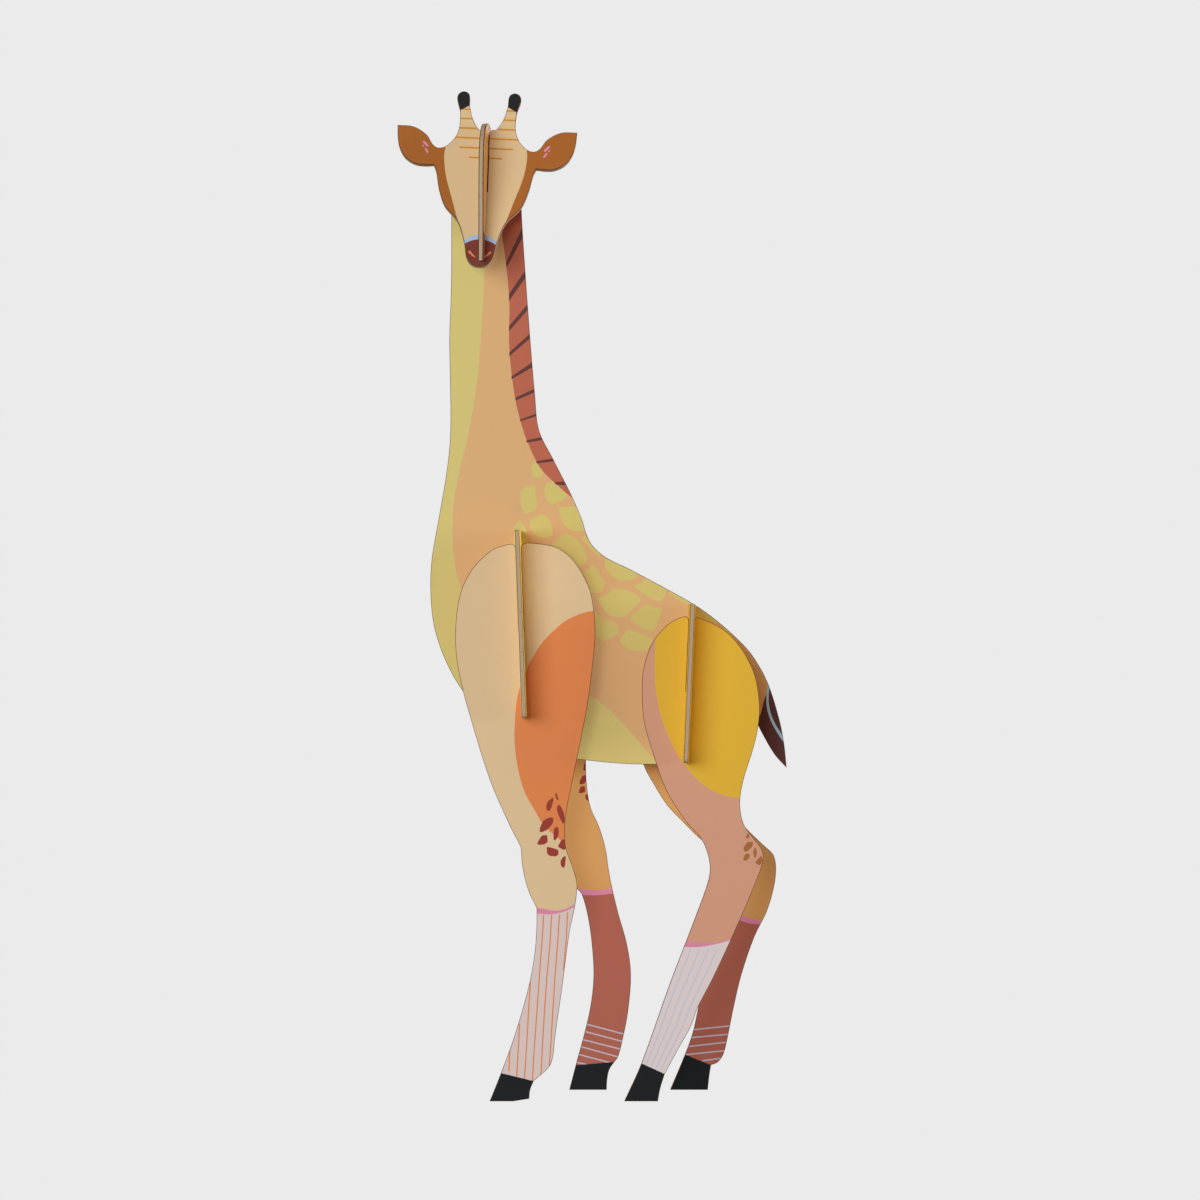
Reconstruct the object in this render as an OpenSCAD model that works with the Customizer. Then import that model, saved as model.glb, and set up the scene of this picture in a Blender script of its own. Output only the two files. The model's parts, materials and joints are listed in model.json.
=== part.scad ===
// Standing giraffe made of nine flat boards that slot into each other.
// Every board is a grey core with a printed sheet glued on each side.
// The giraffe looks along -Y over its shoulder, its chest points along -X and its tail along +X.

/* [Overall] */
// Height from the hoof soles to the horn tips
figure_height = 402; // [334:1:484]
// Length from the left ear tip to the tail tip
figure_length = 155.4; // [130:0.2:187]

/* [Board] */
// Thickness of a whole board with both printed sheets
board_t = 2.0; // [1.6:0.1:3.0]
// Thickness of one printed sheet
sheet_t = 0.15; // [0.1:0.05:0.3]
// Extra width of a slot over the board that it takes
slot_play = 0.1; // [0.05:0.05:0.3]
// Gap left at the bottom of two slots that meet
seat_gap = 0.05; // [0.02:0.01:0.2]
// Radius of the rounded corners at a slot's mouth
mouth_r = 2.0; // [0.5:0.5:3]

/* [Legs and fins] */
// Distance between the middle planes of a left and a right leg
leg_spread = 44; // [36:1:60]
// How far a fin sticks out past a leg's outer face
fin_overhang = 10; // [5:1:16]
// Lean of the shoulder fin, positive towards the tail
shoulder_lean = -2.1; // [-4:0.1:4]
// Lean of the hip fin, positive towards the tail
hip_lean = 2.5; // [-4:0.1:4]
// Rise of the arch under a fin between the legs
fin_arch = 10; // [4:1:14]

/* [Head] */
// Backward tilt of the face plate
face_pitch = 20; // [12:1:28]
// Distance of the face plate's middle plane in front of the neck's
face_reach = 11.3; // [10:0.1:16]
// Turn of the head ridge towards the chest side
ridge_turn = 7; // [0:0.5:9]
// Sideways lean of the head ridge
ridge_lean = -1.3; // [-3:0.1:3]
// Turn of the face outline in its own plane
face_roll = -1.6; // [-3:0.1:3]

/* [Hidden] */
$fn = 48;

// Outlines are drawn at these sizes and stretched to the chosen ones
drawn_height = 402;
drawn_length = 155.4;
sx = figure_length / drawn_length;
sz = figure_height / drawn_height;

core_t = board_t - 2 * sheet_t;
slot_w = board_t + slot_play;
// A board that crosses another at a skew needs a wider slot
skew_slot_w = board_t / cos(ridge_turn) + board_t * tan(ridge_turn) + slot_play;

leg_y = leg_spread / 2;
fin_half = leg_y + board_t / 2 + fin_overhang;
fin_corner_r = 1.5;
// The arch under a fin starts and bends at these shares of the way out to its leg slots
arch_start = 0.7;
arch_bend = 0.35;
// Share of the arch's height reached at the bend
arch_bend_rise = 0.8;
// How far a slot is cut on past the edge that it opens in
run_out = 12;

// Each fin: pivot x, pivot z (where body and fin slots meet), bottom, top, where the leg slots meet
shoulder = [-27.8 * sx, 188 * sz, 151.7 * sz, 225.8 * sz, 186 * sz];
hip = [38.5 * sx, 165 * sz, 134 * sz, 196.6 * sz, 162 * sz];
// Top edges of the legs and the lowest edge of the belly, where the fins' slots open
shoulder_top_z = 220.5 * sz;
hip_top_z = 191.7 * sz;
belly_z = 132 * sz;

// The ridge crosses the neck board here
ridge_x = -41 * sx;
ridge_z = 360 * sz;
neck_slot_z = 362 * sz;
neck_top_z = 378.1 * sz;

// Where the face and ridge slots meet, and the crown of the face, along the face's own height
face_slot_b = -4 * sz;
face_crown_b = 23.1 * sz;
ridge_foot = -16;
ridge_tip = -27.9;

// Knots are [x, z, smooth]; smooth is 1 on a curve and 0 at a corner
body_knots = [
    [-56, 351, 1], [-55.6, 368, 1], [-53, 375.5, 1], [-48, 377.8, 1], [-42, 378.1, 1],
    [-36, 377.8, 1], [-31, 375.5, 1],
    [-28.5, 368, 1], [-27.9, 352, 1], [-26.5, 330, 1], [-24.3, 300, 1], [-22.6, 280, 1],
    [-21, 266, 1], [-15.6, 255, 1], [-8, 240, 1], [-3.7, 230, 1], [-2.2, 225, 1], [0.3, 220, 1],
    [6, 215, 1], [15, 210.6, 1], [40, 197, 1], [50, 190, 1], [60, 181, 1], [65, 175, 1],
    [70.5, 165, 1], [75.2, 150, 1], [77.1, 140, 1], [78, 131, 0], [73, 136.6, 1], [67.6, 146, 1],
    [66, 149.5, 0], [58, 140, 1], [45, 133.5, 1], [20, 132.4, 1], [0, 133.8, 1], [-20, 137, 1],
    [-40, 147, 1], [-52, 162.5, 1], [-56.5, 170, 1], [-60.8, 180, 1], [-63.4, 190, 1],
    [-64.4, 203, 1], [-63.8, 215, 1], [-61.2, 230, 1], [-57.8, 250, 1], [-56.4, 265, 1],
    [-56.6, 290, 1], [-56.8, 303, 1], [-56.2, 320, 1], [-56, 335, 1]
];

front_leg_top = [
    [-52, 200, 1], [-47.3, 210, 1], [-40, 217.4, 1], [-35, 219.6, 1], [-28.5, 220.6, 1],
    [-22, 220.5, 1], [-14, 219, 1], [-8, 214.8, 1], [-3, 207.5, 1], [0, 200, 1], [1.5, 188, 1],
    [1.1, 178, 1]
];
left_front_knots = concat(front_leg_top, [
    [-1, 160, 1], [-4, 143.5, 1], [-7.5, 126.5, 1], [-10.2, 112, 1], [-10.2, 101, 1],
    [-7.5, 93, 1], [-5.7, 86.5, 1], [-5.8, 82, 1], [-6.7, 76, 1], [-8.7, 66.5, 1], [-11.4, 46, 1],
    [-14.4, 25, 1], [-15.2, 17.5, 1], [-16.8, 13.5, 1], [-22.8, 8, 0], [-24.2, 4.5, 1],
    [-24.6, 1, 0], [-31, 0, 0], [-40.2, 0, 0], [-35.8, 11, 1], [-30.5, 25.5, 1], [-25, 44.5, 1],
    [-22.5, 58, 1], [-21.7, 68, 1], [-21.6, 76.3, 0], [-25, 83.5, 1], [-27.3, 93, 1],
    [-27.8, 100.2, 0], [-33, 110.5, 1], [-40.3, 127.5, 1], [-48.5, 154, 1], [-52.6, 170.5, 1],
    [-53.8, 184.5, 1]
]);
right_front_knots = concat(front_leg_top, [
    [-0.6, 160, 1], [-2, 145, 1], [-2.3, 131, 1], [-1.9, 122.8, 1], [-0.4, 114.1, 1],
    [3, 106.4, 1], [5.6, 97.7, 1], [7, 88.5, 1], [8.4, 81.3, 1], [10.9, 71, 1],
    [14.2, 59.3, 1], [15.9, 47, 1], [14.8, 32, 1], [12.5, 20, 1], [10.7, 13.3, 1], [9.2, 11.2, 0],
    [7.2, 8.2, 1], [6.3, 4, 1], [6.1, 0, 0], [-9, 0, 0], [-6.4, 10, 1], [-2.1, 26, 1],
    [-0.1, 36, 1], [0.8, 46.5, 1], [0.1, 58.8, 1], [-1.5, 70, 1], [-3.9, 78.8, 1], [-6, 81.5, 0],
    [-9, 88, 1], [-14, 97, 1], [-24, 117, 1], [-34, 137, 1], [-44, 160, 1], [-50.5, 175, 1],
    [-53, 188, 1]
]);

hind_leg_top = [
    [20.6, 171, 1], [24, 181, 1], [29, 187.3, 1], [33.5, 190.5, 1], [38.7, 191.8, 1], [45, 190.1, 1],
    [52, 186.5, 1], [57.5, 181.3, 1]
];
left_hind_knots = concat(hind_leg_top, [
    [62, 174.5, 1], [65, 167, 1], [66.5, 156, 1], [65.9, 148, 1], [64, 139.5, 1], [60.1, 127, 1],
    [58.7, 118, 1], [60, 110, 1], [63.5, 104.7, 1], [67.6, 99, 1], [67.6, 94, 1], [63.5, 83, 1],
    [57.5, 69, 1], [48, 48.5, 1], [42, 37, 1], [39.5, 30, 1], [34.5, 21, 1], [29, 10.8, 0],
    [27.2, 5, 1], [26.3, 0, 0], [13, 0, 0], [19.8, 15, 1], [31, 46.5, 1], [41, 72.5, 1],
    [46.3, 87.5, 1], [46.8, 93.5, 1], [45, 100.5, 1], [42.5, 104.8, 1], [37, 111, 1],
    [29.5, 123, 1], [24.5, 137, 1], [20.9, 149.5, 1], [20, 160, 1]
]);
right_hind_knots = concat(hind_leg_top, [
    [61.5, 174.5, 1], [64, 167, 1], [65, 156, 1], [64, 148, 1], [62, 139.5, 1], [59.5, 127, 1],
    [59, 117, 1], [60.3, 109, 1], [62.9, 105.4, 1], [69.5, 99, 1], [73.6, 94.9, 1], [74.6, 89, 1],
    [73.6, 81.3, 1], [70.8, 72, 1], [65.9, 62, 1], [60.6, 46.5, 1], [57.4, 33, 1], [55.2, 22, 1],
    [53.4, 14.6, 1], [51.1, 11.2, 1], [48.3, 10, 0], [47.6, 5.6, 1], [47, 0, 0], [31.8, 0, 0],
    [37.8, 14.3, 1], [40.9, 23, 1], [42.9, 32, 1], [45.5, 45, 1], [50, 60, 1], [54, 75, 1],
    [54.5, 86, 1], [50, 96, 1], [42.4, 102.8, 1], [37.3, 108, 1], [30.6, 115, 1], [25.5, 123, 1],
    [20.9, 131.7, 1], [19.2, 142, 1], [19.2, 156, 1]
]);

// One half of the face, from the bottom of the nose round the ear and horn to the crown
half_face_knots = [
    [0, -32.1, 1], [3.2, -31.2, 1], [5.3, -28, 1], [6.3, -22.5, 1], [8.4, -15.5, 1],
    [10.2, -12, 1], [15.1, -6.4, 1], [17.9, 1.2, 1], [19.3, 8.3, 1], [20.4, 11.2, 0],
    [24, 10.9, 1], [27.8, 11.3, 1], [31.8, 13.7, 1], [34.4, 17.9, 1], [35.5, 22.3, 1],
    [35.9, 27.8, 0], [29.4, 27.4, 1], [24, 24, 1], [21.4, 20, 1], [19.2, 18.6, 1],
    [16.2, 19.4, 1], [12.7, 23.4, 1], [11.2, 28.3, 1], [11.4, 35.3, 1], [12.8, 40.8, 1],
    [12.1, 43, 1], [10.2, 43.9, 1], [8.3, 43, 1], [7.7, 41, 1], [7.6, 38, 1], [6.3, 32.5, 1],
    [4.6, 29, 1], [3.4, 27.4, 0], [0, 27.4, 1]
];
// Shift of the face outline on its plate, so that the slot lines up with the ridge
face_shift = [-0.3, -4.3];

// Smooth outline through a closed loop of knots, scaled by [kx, kz]
steps = 4;
function xy(k) = [k[0], k[1]];
function heading(a, b) = (xy(b) - xy(a)) / norm(xy(b) - xy(a));
function leave(a, b, c) =
    b[2] == 0 ? heading(b, c)
    : (xy(c) - xy(a)) / (norm(xy(c) - xy(b)) + norm(xy(b) - xy(a)));
function arrive(a, b, c) = b[2] == 0 ? heading(a, b) : leave(a, b, c);
function hermite(p, u, q, v, d, t) =
    (2 * t ^ 3 - 3 * t ^ 2 + 1) * p + (t ^ 3 - 2 * t ^ 2 + t) * d * u
    + (3 * t ^ 2 - 2 * t ^ 3) * q + (t ^ 3 - t ^ 2) * d * v;
function span(k, i, n) =
    let (
        a = k[(i + n - 1) % n],
        b = k[i],
        c = k[(i + 1) % n],
        e = k[(i + 2) % n],
        d = norm(xy(c) - xy(b)),
        count = b[2] + c[2] == 0 ? 1 : steps
    )
    [for (j = [0 : count - 1]) hermite(xy(b), leave(a, b, c), xy(c), arrive(b, c, e), d, j / count)];
function outline(k, kx, kz) =
    let (n = len(k))
    [for (i = [0 : n - 1]) for (p = span(k, i, n)) [p[0] * kx, p[1] * kz]];
function mirrored(half) =
    concat(half, [for (i = [len(half) - 2 : -1 : 1]) [-half[i][0], half[i][1], half[i][2]]]);

// Face plane in the ridge's own plane, as a distance from the neck plane at a height over ridge_z
function face_s(h) = -(face_reach + board_t / 2) / cos(face_pitch) + h * tan(face_pitch);
function brow(p, h, smooth) = [face_s(h * sz) - p, h * sz, smooth];
ridge_knots = [
    brow(4.1, ridge_tip, 0), brow(5.2, -20, 1), brow(7, -10, 1), brow(9, 0, 1), brow(11, 12, 1),
    brow(11, 20, 1), brow(8.5, 25.5, 1), [-6, 28.1 * sz, 1], [2, 27.3 * sz, 1], [8, 22 * sz, 1],
    [10, 12 * sz, 1], [9.5, 0, 1], [8, -9 * sz, 1], [5.5, ridge_foot * sz, 0],
    brow(-1, ridge_foot, 0), brow(-1, ridge_tip, 0)
];

// Slot of width w from level z0 out past z1, which may be above or below
module plain_slot(w, z0, z1) {
    up = z1 > z0 ? 1 : -1;
    translate([-w / 2, min(z0, z1 + up * run_out)])
        square([w, abs(z1 - z0) + run_out]);
}
// The same slot with rounded corners at its mouth, on an edge that is level at z1
module slot(w, z0, z1) {
    up = z1 > z0 ? 1 : -1;
    plain_slot(w, z0, z1);
    difference() {
        translate([-w / 2 - mouth_r, up > 0 ? z1 - mouth_r : z1 - run_out])
            square([w + 2 * mouth_r, mouth_r + run_out]);
        for (side = [-1, 1])
            translate([side * (w / 2 + mouth_r), z1 - up * mouth_r])
                circle(mouth_r);
    }
}

// Slots in an upright board for a fin: open upwards in a leg, open downwards in the body
module fin_slot_in_leg(fin, lean, mouth) {
    translate([fin[0], fin[1]]) rotate(-lean)
        slot(slot_w, fin[4] - seat_gap - fin[1], mouth - fin[1]);
}
module fin_slot_in_body(fin, lean) {
    translate([fin[0], fin[1]]) rotate(-lean)
        plain_slot(slot_w, seat_gap, belly_z - fin[1]);
}

module body_shape() {
    difference() {
        polygon(outline(body_knots, sx, sz));
        fin_slot_in_body(shoulder, shoulder_lean);
        fin_slot_in_body(hip, hip_lean);
        translate([ridge_x, ridge_z]) rotate(-ridge_lean)
            slot(skew_slot_w, neck_slot_z - seat_gap - ridge_z, neck_top_z - ridge_z);
    }
}
module front_leg_shape(knots) {
    difference() {
        polygon(outline(knots, sx, sz));
        fin_slot_in_leg(shoulder, shoulder_lean, shoulder_top_z);
    }
}
module hind_leg_shape(knots) {
    difference() {
        polygon(outline(knots, sx, sz));
        fin_slot_in_leg(hip, hip_lean, hip_top_z);
    }
}

// Points round a fin's corner with its centre at [x, z], clockwise from an angle
function round_corner(x, z, from) =
    [for (i = [0 : 3]) [x + fin_corner_r * cos(from - 30 * i), z + fin_corner_r * sin(from - 30 * i), 0]];

// A fin in its own plane: width along x, height over the pivot along y
module fin_shape(fin) {
    low = fin[2] - fin[1];
    high = fin[3] - fin[1];
    leg_slot = fin[4] - fin[1];
    inset = fin_half - fin_corner_r;
    difference() {
        polygon(outline(concat(
            round_corner(-inset, high - fin_corner_r, 180),
            round_corner(inset, high - fin_corner_r, 90),
            round_corner(inset, low + fin_corner_r, 0),
            [
                [leg_y * arch_start, low, 0],
                [leg_y * arch_bend, low + fin_arch * arch_bend_rise, 1],
                [0, low + fin_arch, 1],
                [-leg_y * arch_bend, low + fin_arch * arch_bend_rise, 1],
                [-leg_y * arch_start, low, 0]
            ],
            round_corner(-inset, low + fin_corner_r, -90)
        ), 1, 1));
        slot(slot_w, -seat_gap, high);
        for (side = [-1, 1])
            translate([side * leg_y, 0])
                slot(slot_w, leg_slot + seat_gap, low);
    }
}

module face_shape() {
    difference() {
        rotate(face_roll) scale([sx, sz]) translate(face_shift)
            polygon(outline(mirrored(half_face_knots), 1, 1));
        slot(skew_slot_w, face_slot_b - seat_gap, face_crown_b);
    }
}

// The ridge in its own plane: x runs from the face back past the neck, y is the height over ridge_z
module ridge_shape() {
    difference() {
        polygon(outline(ridge_knots, 1, 1));
        slot(skew_slot_w, neck_slot_z + seat_gap - ridge_z, ridge_foot * sz);
        rotate(-face_pitch) translate([-face_reach, 0])
            slot(skew_slot_w, face_slot_b + seat_gap, 2 * ridge_tip * sz);
    }
}

// A board is three layers, counted from the one on the +z side of the flat outline
module layer(which) {
    from = which == "core" ? -core_t / 2 : which == "upper" ? core_t / 2 : -board_t / 2;
    thick = which == "core" ? core_t : sheet_t;
    translate([0, 0, from])
        linear_extrude(height = thick)
            children();
}

module upright(y) {
    translate([0, y, 0]) rotate([90, 0, 0])
        children();
}
module across(fin, lean) {
    translate([fin[0], 0, fin[1]]) rotate([0, lean, 0]) rotate([90, 0, 90])
        children();
}
module on_head() {
    translate([ridge_x, 0, ridge_z]) rotate([0, ridge_lean, 0]) rotate([0, 0, -ridge_turn])
        children();
}

module body_layer(which) { upright(0) layer(which) body_shape(); }
module shoulder_fin_layer(which) { across(shoulder, shoulder_lean) layer(which) fin_shape(shoulder); }
module hip_fin_layer(which) { across(hip, hip_lean) layer(which) fin_shape(hip); }
module left_front_layer(which) { upright(-leg_y) layer(which) front_leg_shape(left_front_knots); }
module right_front_layer(which) { upright(leg_y) layer(which) front_leg_shape(right_front_knots); }
module left_hind_layer(which) { upright(-leg_y) layer(which) hind_leg_shape(left_hind_knots); }
module right_hind_layer(which) { upright(leg_y) layer(which) hind_leg_shape(right_hind_knots); }
module face_layer(which) {
    on_head() rotate([-face_pitch, 0, 0]) translate([0, -face_reach, 0])
        rotate([0, 0, ridge_turn]) rotate([90, 0, 0])
            layer(which) face_shape();
}
module ridge_layer(which) { on_head() rotate([90, 0, 90]) layer(which) ridge_shape(); }

grey_board = [0.68, 0.56, 0.44];

module body_core() { color(grey_board) body_layer("core"); }
module body_print_left() { color([0.83, 0.66, 0.45]) body_layer("upper"); }
module body_print_right() { color([0.81, 0.74, 0.46]) body_layer("lower"); }
module shoulder_fin_core() { color(grey_board) shoulder_fin_layer("core"); }
module shoulder_fin_print_front() { color([0.85, 0.74, 0.52]) shoulder_fin_layer("lower"); }
module shoulder_fin_print_back() { color([0.80, 0.64, 0.42]) shoulder_fin_layer("upper"); }
module hip_fin_core() { color(grey_board) hip_fin_layer("core"); }
module hip_fin_print_front() { color([0.86, 0.68, 0.24]) hip_fin_layer("lower"); }
module hip_fin_print_back() { color([0.78, 0.58, 0.20]) hip_fin_layer("upper"); }
module left_front_leg_core() { color(grey_board) left_front_layer("core"); }
module left_front_leg_print_outer() { color([0.84, 0.73, 0.56]) left_front_layer("upper"); }
module left_front_leg_print_inner() { color([0.79, 0.58, 0.36]) left_front_layer("lower"); }
module right_front_leg_core() { color(grey_board) right_front_layer("core"); }
module right_front_leg_print_outer() { color([0.84, 0.73, 0.56]) right_front_layer("lower"); }
module right_front_leg_print_inner() { color([0.79, 0.58, 0.36]) right_front_layer("upper"); }
module left_hind_leg_core() { color(grey_board) left_hind_layer("core"); }
module left_hind_leg_print_outer() { color([0.82, 0.65, 0.22]) left_hind_layer("upper"); }
module left_hind_leg_print_inner() { color([0.71, 0.49, 0.29]) left_hind_layer("lower"); }
module right_hind_leg_core() { color(grey_board) right_hind_layer("core"); }
module right_hind_leg_print_outer() { color([0.82, 0.65, 0.22]) right_hind_layer("lower"); }
module right_hind_leg_print_inner() { color([0.71, 0.49, 0.29]) right_hind_layer("upper"); }
module face_core() { color(grey_board) face_layer("core"); }
module face_print_front() { color([0.85, 0.73, 0.55]) face_layer("upper"); }
module face_print_back() { color([0.65, 0.39, 0.16]) face_layer("lower"); }
module ridge_core() { color(grey_board) ridge_layer("core"); }
module ridge_print_left() { color([0.83, 0.70, 0.50]) ridge_layer("upper"); }
module ridge_print_right() { color([0.78, 0.62, 0.42]) ridge_layer("lower"); }

body_core();
body_print_left();
body_print_right();
shoulder_fin_core();
shoulder_fin_print_front();
shoulder_fin_print_back();
hip_fin_core();
hip_fin_print_front();
hip_fin_print_back();
left_front_leg_core();
left_front_leg_print_outer();
left_front_leg_print_inner();
right_front_leg_core();
right_front_leg_print_outer();
right_front_leg_print_inner();
left_hind_leg_core();
left_hind_leg_print_outer();
left_hind_leg_print_inner();
right_hind_leg_core();
right_hind_leg_print_outer();
right_hind_leg_print_inner();
face_core();
face_print_front();
face_print_back();
ridge_core();
ridge_print_left();
ridge_print_right();
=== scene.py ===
"""Finish of a slot-together giraffe: printed sheets, cut board edges and the studio."""

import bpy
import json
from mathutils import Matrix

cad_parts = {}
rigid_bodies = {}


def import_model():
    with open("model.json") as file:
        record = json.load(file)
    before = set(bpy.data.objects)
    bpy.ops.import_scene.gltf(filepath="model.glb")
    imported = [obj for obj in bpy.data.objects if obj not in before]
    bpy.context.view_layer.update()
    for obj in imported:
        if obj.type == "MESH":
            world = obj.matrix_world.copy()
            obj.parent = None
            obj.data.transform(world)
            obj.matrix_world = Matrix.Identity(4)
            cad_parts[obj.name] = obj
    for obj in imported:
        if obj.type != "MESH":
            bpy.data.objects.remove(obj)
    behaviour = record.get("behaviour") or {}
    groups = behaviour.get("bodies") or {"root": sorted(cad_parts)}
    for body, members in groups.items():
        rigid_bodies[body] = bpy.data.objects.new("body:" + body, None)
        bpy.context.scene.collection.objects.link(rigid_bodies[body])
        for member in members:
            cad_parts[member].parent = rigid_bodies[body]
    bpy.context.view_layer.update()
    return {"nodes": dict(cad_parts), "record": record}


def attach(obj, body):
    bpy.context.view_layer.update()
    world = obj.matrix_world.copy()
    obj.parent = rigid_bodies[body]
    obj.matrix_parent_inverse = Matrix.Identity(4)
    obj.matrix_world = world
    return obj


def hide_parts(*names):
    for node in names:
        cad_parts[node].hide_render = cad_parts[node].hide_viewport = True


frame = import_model()

import json
import math

import bmesh
import bpy
from bpy.props import FloatProperty, FloatVectorProperty, PointerProperty
from bpy.types import Operator, Panel, PropertyGroup
from mathutils import Vector
from mathutils.geometry import delaunay_2d_cdt, tessellate_polygon

bl_info = {
    "name": "Printed board giraffe",
    "version": (1, 0, 0),
    "blender": (4, 5, 0),
    "location": "View3D > Sidebar > Giraffe",
    "description": "Lays the printed sheets on the boards of a slot-together giraffe",
    "category": "Object",
}

MM = 0.001
RECORD = frame["record"]
NODES = frame["nodes"]
BODY_OF = {node: body for body, nodes in RECORD["behaviour"]["bodies"].items() for node in nodes}


# ---------------------------------------------------------------- settings

def linear(value):
    value = value / 255
    return value / 12.92 if value <= 0.04045 else ((value + 0.055) / 1.055) ** 2.4


def ink(name, description, red, green, blue):
    """A colour setting whose default is given as the eye sees it, from 0 to 255."""
    return FloatVectorProperty(
        name=name, description=description, subtype="COLOR", size=3, min=0, max=1,
        default=(linear(red), linear(green), linear(blue)),
    )


class GiraffeInks(PropertyGroup):
    neck_tan: ink("Neck tan", "Ground colour of the neck and trunk", 214, 170, 116)
    chest_green: ink("Chest green", "Throat, chest and belly", 208, 192, 116)
    patch_green: ink("Patch green", "Patches on the back", 206, 190, 110)
    mane_red: ink("Mane red", "Mane along the neck", 183, 98, 73)
    mane_stripe: ink("Mane stripe", "Dark strokes across the mane", 96, 54, 48)
    tail_brown: ink("Tail brown", "Tuft of the tail", 90, 51, 49)
    tail_blue: ink("Tail blue", "Line along the tuft", 170, 206, 232)
    leg_cream: ink("Leg cream", "Ground colour of the front legs", 217, 188, 146)
    thigh_orange: ink("Thigh orange", "Patch on the front legs", 218, 128, 71)
    spot_red: ink("Spot red", "Spots above the front knees", 149, 54, 42)
    band_pink: ink("Band pink", "Band above each sock", 216, 132, 161)
    sock_pale: ink("Sock pale", "Front socks", 216, 196, 191)
    sock_orange: ink("Sock orange", "Lines along the front socks", 215, 132, 78)
    hoof_black: ink("Hoof black", "Hooves", 10, 17, 21)
    hip_yellow: ink("Hip yellow", "Patch on the hind legs", 219, 174, 48)
    shank_pink: ink("Shank pink", "Ground colour of the hind legs", 208, 152, 124)
    shank_spot: ink("Shank spot", "Spots on the hind legs", 164, 102, 52)
    hind_sock: ink("Hind sock", "Hind socks", 219, 205, 205)
    hind_line: ink("Hind line", "Lines along the hind socks", 196, 195, 208)
    inner_ochre: ink("Inner ochre", "Inner sides of the legs", 212, 156, 92)
    inner_maroon: ink("Inner maroon", "Socks on the inner sides", 172, 96, 78)
    inner_line: ink("Inner line", "Lines across the inner socks", 190, 186, 200)
    face_cream: ink("Face cream", "Face and horns", 219, 188, 142)
    ear_brown: ink("Ear brown", "Ears, cheeks and the back of the face", 168, 99, 40)
    stripe_ochre: ink("Stripe ochre", "Lines across the forehead", 206, 141, 46)
    horn_black: ink("Horn black", "Caps of the horns", 33, 33, 33)
    muzzle_maroon: ink("Muzzle maroon", "Muzzle", 123, 58, 44)
    nose_blue: ink("Nose blue", "Band above the muzzle", 166, 192, 221)
    # Ochre print on the ridge's sides, darkened to the tone of the shade on them: partly print,
    # partly painted shade
    ridge_ochre: ink("Ridge ochre", "Sides of the ridge in front of the face", 178, 122, 64)
    nostril_coral: ink("Nostril coral", "Nostrils", 226, 130, 96)
    ear_pink: ink("Ear pink", "Dashes in the ears", 226, 142, 171)
    shoulder_yellow: ink("Shoulder yellow", "Sheets of the shoulder fin", 240, 196, 78)
    hip_fin_yellow: ink("Hip fin yellow", "Sheets of the hip fin", 230, 180, 48)
    board_light: ink("Board light", "Light fibres of a cut board edge", 200, 177, 150)
    board_dark: ink("Board dark", "Dark fibres of a cut board edge", 158, 133, 107)
    glue_line: ink("Glue line", "Where a sheet meets its board", 84, 58, 38)
    cut_paper: ink("Cut paper", "Cut edge of a printed sheet", 84, 46, 26)
    key_light: ink("Key light", "Colour of the main light", 243, 249, 255)
    fill_light: ink("Fill light", "Colour of the light from all round", 255, 231, 202)
    studio_pale: ink("Studio pale", "Floor and background", 235, 235, 235)


class GiraffeSizes(PropertyGroup):
    edge_roll: FloatProperty(
        name="Edge roll", description="Width of the edge that the cutting die rounds off a sheet",
        default=0.2 * MM, min=0, max=0.5 * MM, unit="LENGTH",
    )
    edge_drop: FloatProperty(
        name="Edge drop", description="How far that edge falls below the sheet's face",
        default=0.08 * MM, min=0, max=0.14 * MM, unit="LENGTH",
    )
    camera_distance: FloatProperty(
        name="Camera distance", description="From the lens to the middle board",
        default=1.9, min=0.5, max=6, unit="LENGTH",
    )
    camera_height: FloatProperty(
        name="Camera height", description="Height of the lens above the floor",
        default=0.1981, min=0, max=1, unit="LENGTH",
    )
    key_turn: FloatProperty(
        name="Key turn", description="Turn of the main light to the left of the camera",
        default=math.radians(34), min=0, max=math.pi / 2, subtype="ANGLE",
    )
    key_rise: FloatProperty(
        name="Key rise", description="Height of the main light as an angle",
        default=math.radians(8), min=0, max=math.pi / 2, subtype="ANGLE",
    )
    key_size: FloatProperty(
        name="Key size", description="Width of the main light", default=1.3, min=0.05, max=2,
        unit="LENGTH",
    )
    key_power: FloatProperty(name="Key power", description="Strength of the main light",
                             default=35.5, min=0, max=500)
    front_power: FloatProperty(
        name="Front power", description="Strength of the light beside the camera", default=6.6,
        min=0, max=500,
    )
    side_power: FloatProperty(
        name="Side power", description="Strength of the light from the far right", default=32,
        min=0, max=500,
    )
    back_power: FloatProperty(
        name="Back power", description="Strength of the light behind the figure", default=50, min=0,
        max=500,
    )
    fill: FloatProperty(name="Fill", description="Light from all round", default=0.18, min=0, max=2)


def inks():
    return bpy.context.scene.giraffe_inks


def sizes():
    return bpy.context.scene.giraffe_sizes


# ---------------------------------------------------------------- shaders

KINDS = {3: "VECTOR", 4: "RGBA"}


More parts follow.
